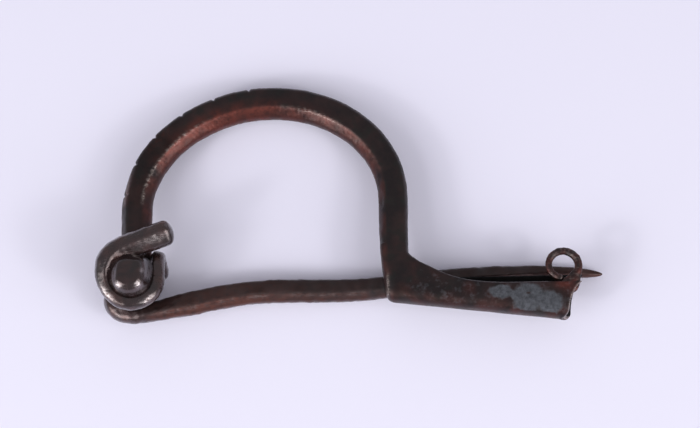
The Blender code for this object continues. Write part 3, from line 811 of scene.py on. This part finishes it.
def with_cut_end(rings, marks):
    """Rounds the cut end: each further ring closes on the middle of the wall by a cosine."""
    last = rings[-1]
    half = len(last) // 2
    middle = (last + np.concatenate([last[half:][::-1], last[:half][::-1]])) / 2
    added = []
    for angle in np.radians((25, 50, 70, 84)):
        ring = middle + (last - middle) * np.cos(angle)
        ring[:, 0] += END_ROUNDING * np.sin(angle)
        added.append(ring)
    rings = np.concatenate([rings, added])
    marks = {
        key: np.concatenate([value, np.repeat(value[-1:], len(added), axis=0)])
        for key, value in marks.items()
    }
    # Painted highlight: the rounded cut end is rubbed bright where the lamp catches it.
    marks["rub_and_highlight"][-3:] = 0.9
    return rings, marks


def build_eye():
    """Pierced disc at the head: a rounded strip carried round the bore."""
    angle = np.linspace(0, 2 * np.pi, 181)[:-1]
    turns = np.linspace(0, 2 * np.pi, 41)[:-1]
    radius = soft_polygon(turns, ((0, 1), (90, 1), (180, 1), (270, 1)), 9)
    middle = (BORE_RADIUS + EYE_RADIUS) / 2
    out = middle + radius * np.cos(turns) * (EYE_RADIUS - BORE_RADIUS - 0.1) / 2
    side = radius * np.sin(turns) * (EYE_HALF - 0.03)
    rings = np.stack([
        np.cos(angle)[:, None] * out, np.sin(angle)[:, None] * out,
        np.broadcast_to(side, (len(angle), len(side))),
    ], axis=-1)
    rings += 0.012 * ripple(rings, 0.9, 21)[..., None] * np.array([0, 0, 1.0])
    marks = {"red": np.full(rings.shape[:2], 0.3)}
    make_piece("eye", rings, BOW_BRONZE, "bow", "bow_body", marks, ("round", "none"))


# Swept pieces

def carried(points, sides, flats_and_shares, half, width, count, crispness):
    """Rings of a soft polygon carried along a path.

    A ring's point is centre + radius (cos t * half * side + sin t * width * across), with
    across the product of tangent and side, and the radius blended between polygons. The
    outward direction of each point and the directions t are returned as well.
    """
    tangent = unit(smoothed(np.gradient(points, axis=0), 2))
    side = unit(sides - (sides * tangent).sum(axis=-1, keepdims=True) * tangent)
    across = np.cross(tangent, side)
    turns = (np.arange(count) + 0.5) * 2 * np.pi / count
    radius = sum(
        share[:, None] * soft_polygon(turns, flats, crispness)[None]
        for flats, share in flats_and_shares
    )
    a = (radius * np.cos(turns) * half[:, None])[..., None]
    b = (radius * np.sin(turns) * width[:, None])[..., None]
    side = side[:, None]
    across = across[:, None]
    lean = np.cos(turns)[None, :, None] * side + np.sin(turns)[None, :, None] * across
    return points[:, None] + a * side + b * across, lean, turns


def coil_side(turned):
    """Distance of the wire from the middle plane after some degrees of a coil."""
    return EYE_HALF + CLEARANCE + WIRE_HALF_WIDTH + PITCH * turned / 360


def touch_angles(place, radius):
    """Angles, in degrees, at which straight runs from a place touch a circle round the rod."""
    towards = np.degrees(np.arctan2(place[1], place[0]))
    opening = np.degrees(np.arccos(radius / np.linalg.norm(place)))
    return towards - opening, towards + opening


CHORD_X = HEAD_X + HEAD_HALF + CHORD_CLEARANCE + WIRE_HALF
CHORD_REACH = EYE_RADIUS + CHORD_CLEARANCE + WIRE_HALF
CHORD = np.array([CHORD_X, np.sqrt(CHORD_REACH**2 - CHORD_X**2)])
NEAR_CHORD = CHORD + NEAR_CHORD_SHIFT
FREE_TIP = np.array([HEAD_X + HEAD_HALF, BORE_RADIUS + 2 * WIRE_HALF]) + FREE_TIP_SHIFT
FREE_RADIUS = BORE_RADIUS + FREE_HALF
WIRE_RADIUS = BORE_RADIUS + WIRE_HALF
FREE_ANGLE = touch_angles(FREE_TIP, FREE_RADIUS)[1]
CHORD_LOW = touch_angles(NEAR_CHORD, WIRE_RADIUS)[0]
CHORD_HIGH = touch_angles(CHORD, WIRE_RADIUS)[1]
NEAR_TURN = 360 + CHORD_LOW - FREE_ANGLE
FAR_TURN = PIN_ROOT_ANGLE - CHORD_HIGH


def circle_point(angle, radius):
    """Point on a circle round the rod at an angle in degrees."""
    angle = np.radians(angle)
    return np.stack([np.cos(angle) * radius, np.sin(angle) * radius], axis=-1)


def coil_stretch(start, turn, from_side, to_side, half):
    """Stations of a coil: the wire's inside stays on the bore as its thickness changes."""
    share = np.linspace(0, 1, int(abs(turn) / 1.5))
    thick = half(share)
    angle = start + turn * share
    out = circle_point(angle, np.ones_like(angle))
    flat = out * (BORE_RADIUS + thick)[:, None]
    side = from_side + (to_side - from_side) * share
    points = np.column_stack([flat, side])
    sides = np.column_stack([out, np.zeros(len(out))])
    return points, sides, thick, np.maximum(thick, WIRE_HALF_WIDTH)


def wire_route():
    """The wire's stretches in order, each as (points, sides, half thickness, half width).

    They are the free end, the near coil, the chord's near and far halves, the far coil and
    the pin.
    """
    stretches = []
    free_side = coil_side(NEAR_TURN)
    landing = circle_point(FREE_ANGLE, FREE_RADIUS)
    heading = unit(landing - FREE_TIP)
    reach = np.linalg.norm(landing - FREE_TIP)
    turn = np.linspace(0.06, np.pi / 2, 14)
    blunt = 0.62 * FREE_HALF
    cap = FREE_TIP + heading * (blunt * (1 - np.cos(turn)))[:, None]
    run = FREE_TIP + heading * np.linspace(blunt, reach, 30)[1:, None]
    flat = np.vstack([cap, run])
    half = np.concatenate([FREE_HALF * np.sin(turn) ** 0.8, np.full(29, FREE_HALF)])
    points = np.column_stack([flat, np.full(len(flat), free_side)])
    side = np.broadcast_to((heading[1], -heading[0], 0.0), points.shape)
    stretches.append((points, side, half, half))

    swell = FREE_HALF - WIRE_HALF
    stretches.append(coil_stretch(
        FREE_ANGLE, NEAR_TURN, free_side, coil_side(0),
        lambda share: WIRE_HALF + swell * ease(FREE_SWELL_TURN / NEAR_TURN, 0, share),
    ))

    chord = []
    corners = (
        (CHORD_LOW, NEAR_CHORD, coil_side(0), 1), (CHORD_HIGH, CHORD, -coil_side(FAR_TURN), -1),
    )
    for angle, corner, level, sign in corners:
        start = circle_point(angle, WIRE_RADIUS)
        heading = unit(corner - start)
        reach = np.linalg.norm(corner - start) - CHORD_BEND
        turns = np.radians(np.linspace(0, 90, 14))
        flat = np.vstack([
            start + heading * (reach * np.linspace(0.1, 0.9, 12))[:, None],
            corner - heading * (CHORD_BEND * (1 - np.sin(turns)))[:, None],
        ])
        inward = level - sign * CHORD_BEND * (1 - np.cos(turns))
        level = np.concatenate([np.full(12, level), inward])
        points = np.column_stack([flat, level])
        side = np.broadcast_to((*unit(start), 0.0), points.shape)
        chord.append((points[::sign], side))
    flat_size = np.full(len(chord[0][0]), WIRE_HALF)
    for points, side in chord:
        stretches.append((points, side, flat_size, flat_size))

    root_swell = PIN_ROOT_HALF - WIRE_HALF
    far = coil_stretch(
        CHORD_HIGH, FAR_TURN, -coil_side(FAR_TURN), -coil_side(0),
        lambda share: WIRE_HALF + root_swell * share + FAR_SWELL * bell(
            FAR_SWELL_ANGLE, FAR_SWELL_SPREAD, PIN_ROOT_ANGLE - FAR_TURN * (1 - share),
        ),
    )
    stretches.append(far)
    stretches.append(pin_stretch(far[0][-1]))
    return stretches


def pin_stretch(root):
    """Pin: straight on from the coil, then down and past the far side of the foot.

    It is a little slimmer where it leaves the coil, tapers over its last two thirds, and
    its point is rounded as an ellipse.
    """
    heading = np.append(circle_point(PIN_ROOT_ANGLE + 90, 1.0), 0.0)
    past = FOOT_WIDTH / 2 + CLEARANCE + PIN_HALF_WIDTH
    tip = ANKLE_X + FOOT_LENGTH + END_SLANT + PIN_PAST_END
    reach = tip - root[0]
    knots = [root, root + heading * (PIN_STRAIGHT * reach)]
    for share, height, crossed in PIN_COURSE:
        knots.append((tip * share, height, root[2] - (past + root[2]) * crossed))
    points = smooth_path(knots, 70)[1:]
    share = (points[:, 0] - root[0]) / reach
    rounding = np.sqrt(np.clip(1 - np.clip((share - 0.955) / 0.0455, 0, 1) ** 2, 0.0004, 1))
    full = np.minimum(1.0, 0.72 + share / 0.30)
    lost = np.clip((share - 0.30) / 0.65, 0, None) ** 1.9
    taper = 1 - (1 - PIN_POINT_HALF / PIN_HALF) * lost
    half = PIN_HALF * full * np.maximum(taper, 0.0) * rounding
    side = np.broadcast_to((0.0, -1.0, 0.0), points.shape)
    return points, side, half, np.minimum(PIN_HALF_WIDTH, half)


# Round the wire 0 degrees looks out from the rod, or down on the pin, and 270 at the viewer.
COIL_FLATS = ((0, 1), (45, 1), (90, 1), (135, 1), (180, 1.05), (226, 1), (285, 0.97), (325, 1))
FREE_FLATS = (
    (0, 1), (45, 1), (90, 1), (135, 1), (180, 1), (226, 0.86), (286, 0.95), (330, 0.98),
)
PIN_FLATS = (
    (0, 1), (45, 1.08), (90, 1), (135, 1.08), (180, 1), (222, 1.12), (266, 0.98), (320, 0.93),
)


def build_wire():
    """The one wire, resampled evenly by length, with facets that change along it."""
    stretches = wire_route()
    points, sides, half, width = (np.concatenate(parts) for parts in zip(*stretches))
    stretch = np.concatenate([
        np.full(len(rows[0]), i, float) for i, rows in enumerate(stretches)
    ])
    run = lengths_along(points)
    keep = np.concatenate([[True], np.diff(run) > 1e-6])
    run = run[keep]
    even = np.concatenate([run[:14], np.linspace(run[14], run[-1], 790)])
    columns = (points, sides, half, width, stretch)
    columns = [interpolate(even, run, rows[keep]) for rows in columns]
    points, sides, half, width, stretch = columns
    points = smoothed(points, 3)
    sides = smoothed(sides, 3)
    stretch = smoothed(stretch, 12)
    free = ease(1.0, 0.0, stretch)
    pin = ease(4.0, 5.0, stretch)
    flats = ((COIL_FLATS, (1 - free) * (1 - pin)), (FREE_FLATS, free), (PIN_FLATS, pin))
    rings, lean, turns = carried(points, sides, flats, half, width, 88, 11)
    size = np.minimum(1, half / WIRE_HALF)[:, None]
    rings = rings - lean * ((0.028 + relief(rings, WIRE_RELIEF)) * size)[..., None]
    marks = wire_marks(rings, turns, free[:, None], pin[:, None])
    make_piece(
        "spring_wire", rings, WIRE_BRONZE, "spring_and_pin", "pin_body", marks,
    )


def wire_marks(rings, turns, free, pin):
    """Where the wire is reddish, rubbed bright, brightened by painted highlights or darkened by
    painted shade, by the shares of free end and pin.
    """
    degrees = np.degrees(turns)[None]
    patchy = ripple(rings, 2.0, 35)
    upper = ease(302, 292, degrees) * ease(150, 200, degrees)
    lower = ease(290, 302, degrees)
    x = rings[..., 0]
    red = pin * lower * (0.5 * bell(8, 6, x) + 0.2 + 0.15 * patchy)
    red += pin * (0.4 * bell(9, 7, x) + 0.2 + 0.12 * patchy)
    red += pin * ease(40.0, 52.0, x) * 0.6
    red += (1 - pin) * (0.08 + 0.12 * patchy)
    red += 0.8 * spot((3.4, 6.2), (0.5, 0.6), rings) * free
    rub_and_highlight = bell(304, 14, degrees) * pin * np.clip(0.10 + 0.14 * patchy, 0, 1)
    # Painted highlights: the near coil is rubbed bright at its lower left and lower right, and the
    # free end on its lower facet, where the lamps reflect.
    around = np.degrees(np.arctan2(rings[..., 1], x))
    wear_and_highlight = 1.2 * bell(-143, 15, around) + 0.9 * bell(-52, 12, around)
    rub_and_highlight += (1 - pin) * (rings[..., 2] > 0) * bell(310, 20, degrees) * wear_and_highlight
    rub_and_highlight += 0.45 * free * bell(236, 16, degrees) * bell(2.6, 1.3, x)
    # Painted shade darkens the pin's top face and, less, its lit lower facet.
    shade_and_dark_patches = pin * (0.50 * upper + 0.28 * lower + 0.1 * patchy)
    return {"red": np.clip(red, 0, 1), "rub_and_highlight": np.clip(rub_and_highlight, 0, 1), "shade_and_dark_patches": np.clip(shade_and_dark_patches, 0, 1)}


def build_curl():
    """Tapering wire at the foot's end: a root out of the near wall, then a closing circle."""
    corner_x = ANKLE_X + FOOT_LENGTH
    top = foot_top(corner_x)
    centre = np.array([corner_x, top + CURL_RADIUS]) + CURL_SHIFT
    share = np.linspace(0, 1, 150)
    angle = CURL_START + (CURL_END - CURL_START) * share
    circle = centre + circle_point(angle, CURL_RADIUS * (1 - CURL_CLOSING * share))
    root = np.array(CURL_ROOT) + (corner_x, top)
    flat = np.vstack([smooth_path(np.vstack([root, circle[:1]]), 16)[:-1], circle])
    run = lengths_along(flat)
    even = np.linspace(0, run[-1], 190)
    flat = smoothed(interpolate(even, run, flat), 3)
    points = np.column_stack([flat, np.full(len(flat), FOOT_WIDTH / 2 - CURL_WIRE - 0.04)])
    out = np.column_stack([unit(flat - centre), np.zeros(len(flat))])
    along = even / run[-1]
    tip = np.sqrt(np.clip(1 - np.clip((along - 0.97) / 0.0305, 0, 1) ** 2, 0.001, 1))
    half = CURL_WIRE * (1 + 1.5 * ease(0.30, 0.0, along) - 0.25 * along) * tip
    half *= 0.65 + 0.35 * ease(0, 0.1, along)
    width = np.minimum(half, CURL_WIRE * (1 - 0.2 * along) * tip)
    hexagon = tuple((direction, 1) for direction in range(0, 360, 60))
    flats = ((hexagon, np.ones(len(flat))),)
    rings, lean, turns = carried(points, out, flats, half, width, 48, 9)
    rings = rings - lean * (0.012 + relief(rings, CURL_RELIEF))[..., None]
    fine = ripple(rings, 0.5, 43)
    red = np.clip(0.25 + 0.3 * ripple(rings, 1.2, 44), 0, 1)
    rub_and_highlight = np.clip(bell(270, 40, np.degrees(turns))[None] * (0.08 + 0.2 * fine), 0, 1)
    marks = {"red": red, "rub_and_highlight": rub_and_highlight}
    make_piece("curl", rings, BOW_BRONZE, "bow", "bow_body", marks)


# The rod's near end: distance back from its face, half width, and share of the coil's
# slope that it follows, since the end is burred down onto the coil all round.
BURR = (
    (3.2, 1.60, 0.6), (2.4, 1.60, 1), (1.30, 1.66, 1), (0.94, 2.26, 1), (0.74, 2.34, 1),
    (0.62, 2.16, 0.85), (0.48, 1.86, 0.1), (0.10, 1.38, 0), (0.02, 1.24, 0), (0.0, 1.06, 0),
    (0.0, 0.02, 0),
)
BOSS_FLATS = (
    (0, 0.90), (90, 1.0), (180, 0.90), (270, 1.02), (45, 1.14), (135, 1.14), (225, 1.10),
    (315, 1.10),
)


def build_rod():
    """Round rod whose near end is burred: a squarish boss that spreads down onto the coil."""
    near = coil_side(NEAR_TURN) + ROD_STAND
    far = near + coil_side(FAR_TURN) + ROD_FAR_STAND
    rounding = np.linspace(0, np.pi / 2, 7)
    end = np.stack([
        far - ROD_END_ROUNDING * (1 - np.cos(rounding)),
        ROD_HALF - ROD_END_ROUNDING * (1 - np.sin(rounding)),
        0 * rounding,
    ], axis=-1)
    profile = np.vstack([end, [(BURR_REACH, ROD_HALF, 0)], BURR])
    run = lengths_along(profile[:, :2])
    back, half, follow = smoothed(interpolate(np.linspace(0, run[-1], 220), run, profile), 2).T
    turns = (np.arange(96) + 0.5) * 2 * np.pi / 96
    around = np.degrees(turns)[None]
    squared = ease(0.75, 0.3, back)[:, None]
    radius = half[:, None] * (1 + (soft_polygon(turns, BOSS_FLATS, 9) - 1) * squared)
    # The burr spreads into the gap where the wire leaves the rod.
    radius = radius * (1 + 0.20 * bell(44, 24, around) * bell(0.9, 0.4, back)[:, None])
    turned = (around - FREE_ANGLE) % 360
    drop = PITCH / 360 * np.minimum(turned, NEAR_TURN * ease(360, NEAR_TURN, turned))
    level = near - back[:, None] - follow[:, None] * drop
    rings = np.stack([radius * np.cos(turns), radius * np.sin(turns), level], axis=-1)
    rings *= 1 - (0.006 * ripple(rings, 1.2, 51))[..., None] * np.array([1, 1, 0.0])
    rings[..., 2] -= 0.015 + 0.012 * ripple(rings, 1.6, 52)
    # Painted highlights: the boss's chamfers are rubbed bright at its lower corners and right
    # side, where the lamps reflect. Painted shade darkens its gap where the wire leaves the rod.
    rub_and_highlight = 0.9 * bell(231, 15, around) + 0.9 * bell(309, 12, around) + 0.5 * bell(8, 12, around)
    rub_and_highlight = rub_and_highlight * (bell(0.30, 0.16, back) * ease(0.03, 0.12, back))[:, None]
    shade_and_dark_patches = 0.6 * ease(0.5, 0.7, back)[:, None] * bell(44, 30, around)
    red = np.clip(0.15 + 0.2 * ripple(rings, 1.0, 54), 0, 1)
    marks = {"red": red, "rub_and_highlight": np.clip(rub_and_highlight, 0, 1), "shade_and_dark_patches": shade_and_dark_patches}
    make_piece("rod", rings, ROD_BRONZE, "axis_rod", "bow_body", marks)


# Table, lights and camera

def build_table():
    """Wide flat board under the brooch."""
    mesh = bpy.data.meshes.new("table")
    signs = ((-1, -1), (1, -1), (1, 1), (-1, 1))
    corners = [(x * TABLE_HALF, y * TABLE_HALF, 0) for x, y in signs]
    mesh.from_pydata(corners, [], [(0, 1, 2, 3)])
    mesh.materials.append(table_top())
    table = bpy.data.objects.new("table", mesh)
    bpy.context.scene.collection.objects.link(table)


def looking(eye, target, up=(0.0, 1.0, 0.0)):
    """Matrix at the eye that looks at the target."""
    back = unit(np.asarray(eye, float) - target)
    right = unit(np.cross(up, back))
    turned = np.stack([right, np.cross(back, right), back], axis=1)
    return Matrix([[*row, place] for row, place in zip(turned.tolist(), eye)] + [[0, 0, 0, 1]])


def add_light(name, place, size, power):
    """White square light at a place, turned to the middle of the table."""
    light = bpy.data.lights.new(name, "AREA")
    light.shape = "RECTANGLE"
    light.size = size
    light.size_y = size
    light.energy = power
    light.color = linear("#ffffff")[:3]
    made = bpy.data.objects.new(name, light)
    bpy.context.scene.collection.objects.link(made)
    made.matrix_world = looking(np.array(place, float), np.zeros(3))


def build_lights():
    """Two large soft boxes low to the left and right, each with its bright lamp, in a dim room."""
    for name, place, power in SOFT_BOXES:
        add_light(name + "_box", place, BOX_SIZE, power)
        add_light(name + "_lamp", place, LAMP_SIZE, power * LAMP_SHARE)
    world = bpy.data.worlds.new("room")
    world.use_nodes = True
    background = world.node_tree.nodes["Background"]
    background.inputs["Color"].default_value = linear("#ededf4")
    background.inputs["Strength"].default_value = ROOM_STRENGTH
    bpy.context.scene.world = world


def build_camera():
    """The viewer stands 180 mm off, 22 degrees toward the foot's side of straight above."""
    toward = unit(np.array([*np.tan(np.radians(CAMERA_LEAN)), 1.0]))
    aim = np.array(CAMERA_AIM)
    eye = on_table(aim + toward * CAMERA_DISTANCE)
    camera = bpy.data.cameras.new("camera")
    camera.lens = LENS
    camera.sensor_width = SENSOR
    camera.clip_start = 0.01
    made = bpy.data.objects.new("camera", camera)
    bpy.context.scene.collection.objects.link(made)
    made.matrix_world = looking(eye, on_table(aim), AXES[1])
    bpy.context.scene.camera = made


build_bow()
build_eye()
build_wire()
build_curl()
build_rod()
build_table()
build_lights()
build_camera()
bpy.context.scene.view_settings.view_transform = "Standard"

bpy.context.view_layer.update()
